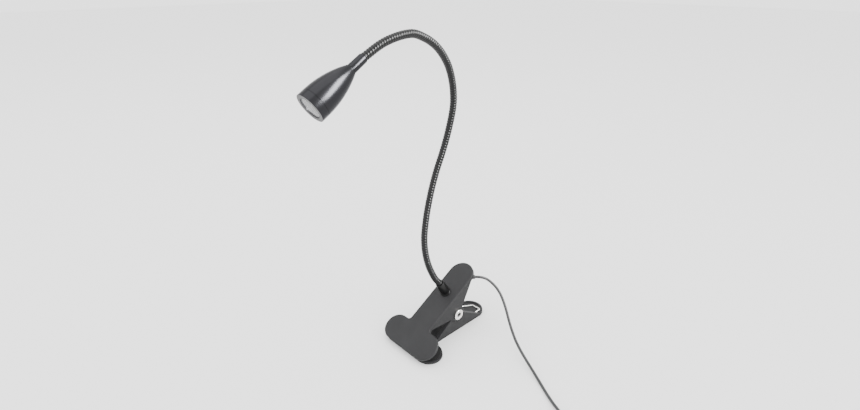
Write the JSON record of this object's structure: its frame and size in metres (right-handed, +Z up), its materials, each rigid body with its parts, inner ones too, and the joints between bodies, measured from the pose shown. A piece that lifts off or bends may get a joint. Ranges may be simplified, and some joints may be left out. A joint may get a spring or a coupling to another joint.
{
  "type": "clip-on reading lamp",
  "caption": "Clip-on reading lamp: a sprung T-jaw clip that also stands flat, a bendable neck, a small bullet-shaped LED head and a cord with an inline switch and plug.",
  "frame": {"origin": "on the flat underside of the lower clip half, on the clip's middle line, 45 mm behind the jaw's front edge", "axes": "+X from the jaws to the handles, +Y across the clip, +Z up off the flat underside"},
  "size_m": [0.1933, 0.2595, 0.3013],
  "materials": {
    "clip_paint": "matte",
    "pad_rubber": "matte",
    "nickel": "polished",
    "spring_steel": "satin",
    "collar_finish": "gloss",
    "nut_steel": "satin",
    "neck_finish": "semi-gloss",
    "inner_cable": "matte",
    "head_gloss": "gloss",
    "heat_sink_metal": "satin",
    "board_white": "gloss",
    "led_phosphor": "satin",
    "reflector_plate": "mirror",
    "lens_clear": "gloss",
    "cord_jacket": "satin",
    "cord_fittings": "matte",
    "plug_insulator": "satin",
    "switch_works": "matte",
    "contact_gold": "polished"
  },
  "bodies": {
    "base": {"coil_tie": "cord_fittings", "cord_coil": "cord_jacket", "cord_link": "cord_jacket", "cord_tail": "cord_jacket", "cord_tube": "cord_jacket", "lower_clip_half": "clip_paint", "lower_jaw_pad": "pad_rubber", "pivot_rivet": "nickel", "plug_body": "cord_fittings", "plug_contacts": "contact_gold", "plug_shell": "nickel", "plug_tongue": "plug_insulator", "switch_base": "cord_fittings", "switch_core": "switch_works", "switch_cover": "cord_fittings", "torsion_spring": "spring_steel"},
    "upper_half": {"upper_clip_half": "clip_paint", "upper_jaw_pad": "pad_rubber", "base_collar": "collar_finish", "collar_washer": "nut_steel", "collar_nut": "nut_steel", "neck_tube_1": "neck_finish", "neck_cable_1": "inner_cable", "inner_lead": "inner_cable", "cord_grommet": "cord_fittings"},
    "neck_2": {"neck_tube_2": "neck_finish", "neck_cable_2": "inner_cable"},
    "neck_3": {"neck_tube_3": "neck_finish", "neck_cable_3": "inner_cable"},
    "neck_4": {"neck_tube_4": "neck_finish", "neck_cable_4": "inner_cable"},
    "neck_5": {"neck_tube_5": "neck_finish", "neck_cable_5": "inner_cable"},
    "neck_6": {"neck_tube_6": "neck_finish", "neck_cable_6": "inner_cable"},
    "neck_7": {"neck_tube_7": "neck_finish", "neck_cable_7": "inner_cable"},
    "neck_8": {"neck_tube_8": "neck_finish", "neck_cable_8": "inner_cable"},
    "head": {"neck_tube_9": "neck_finish", "neck_cable_9": "inner_cable", "head_ferrule": "head_gloss", "ferrule_nut": "nut_steel", "shade_shell": "head_gloss", "heat_sink": "heat_sink_metal", "led_board": "board_white", "led_chip": "led_phosphor", "head_lead": "inner_cable", "reflector": "reflector_plate", "lens": "lens_clear", "front_bezel": "head_gloss"},
    "button": {"switch_button": "cord_fittings"}
  },
  "joints": [
    {"name": "clip_hinge", "type": "hinge", "parent": "base", "child": "upper_half", "pos_m": [0.016, 0, 0.0206], "axis": [0, 1, 0], "range_deg": [0, 26], "stiffness_Nm_per_rad": 0.6, "springref_deg": -51.57, "deforming": ["torsion_spring", "cord_tube"]},
    {"name": "neck_bend_1", "type": "hinge", "parent": "upper_half", "child": "neck_2", "pos_m": [-0.0024, 0.002, 0.0658], "axis": [-0.0481, -0.992, 0.1166], "range_deg": [-20, 20]},
    {"name": "neck_bend_2", "type": "hinge", "parent": "neck_2", "child": "neck_3", "pos_m": [-0.0096, 0.0085, 0.1065], "axis": [0.0223, -0.9849, 0.1719], "range_deg": [-20, 20]},
    {"name": "neck_bend_3", "type": "hinge", "parent": "neck_3", "child": "neck_4", "pos_m": [0.0058, 0.0165, 0.1478], "axis": [-0.912, 0, 0.4103], "range_deg": [-15, 15]},
    {"name": "neck_bend_4", "type": "hinge", "parent": "neck_4", "child": "neck_5", "pos_m": [0.0244, 0.0185, 0.1884], "axis": [-0.0068, -0.9998, -0.0173], "range_deg": [-20, 20]},
    {"name": "neck_bend_5", "type": "hinge", "parent": "neck_5", "child": "neck_6", "pos_m": [0.0331, 0.015, 0.2293], "axis": [0.0009, -0.9929, -0.1186], "range_deg": [-20, 20]},
    {"name": "neck_bend_6", "type": "hinge", "parent": "neck_6", "child": "neck_7", "pos_m": [0.0226, 0.01, 0.2637], "axis": [0.0766, -0.9885, -0.1305], "range_deg": [-25, 10]},
    {"name": "neck_bend_7", "type": "hinge", "parent": "neck_7", "child": "neck_8", "pos_m": [0.0008, 0.005, 0.2861], "axis": [-0.5511, 0, -0.8345], "range_deg": [-15, 15]},
    {"name": "neck_bend_8", "type": "hinge", "parent": "neck_8", "child": "head", "pos_m": [-0.0296, 0.0005, 0.2978], "axis": [0.0999, -0.995, -0.0022], "range_deg": [-25, 10]},
    {"name": "button_press", "type": "slide", "parent": "base", "child": "button", "axis": [0, 0, -1], "range_m": [0, 0.0012], "stiffness_N_per_m": 800, "springref_m": -0.001}
  ]
}
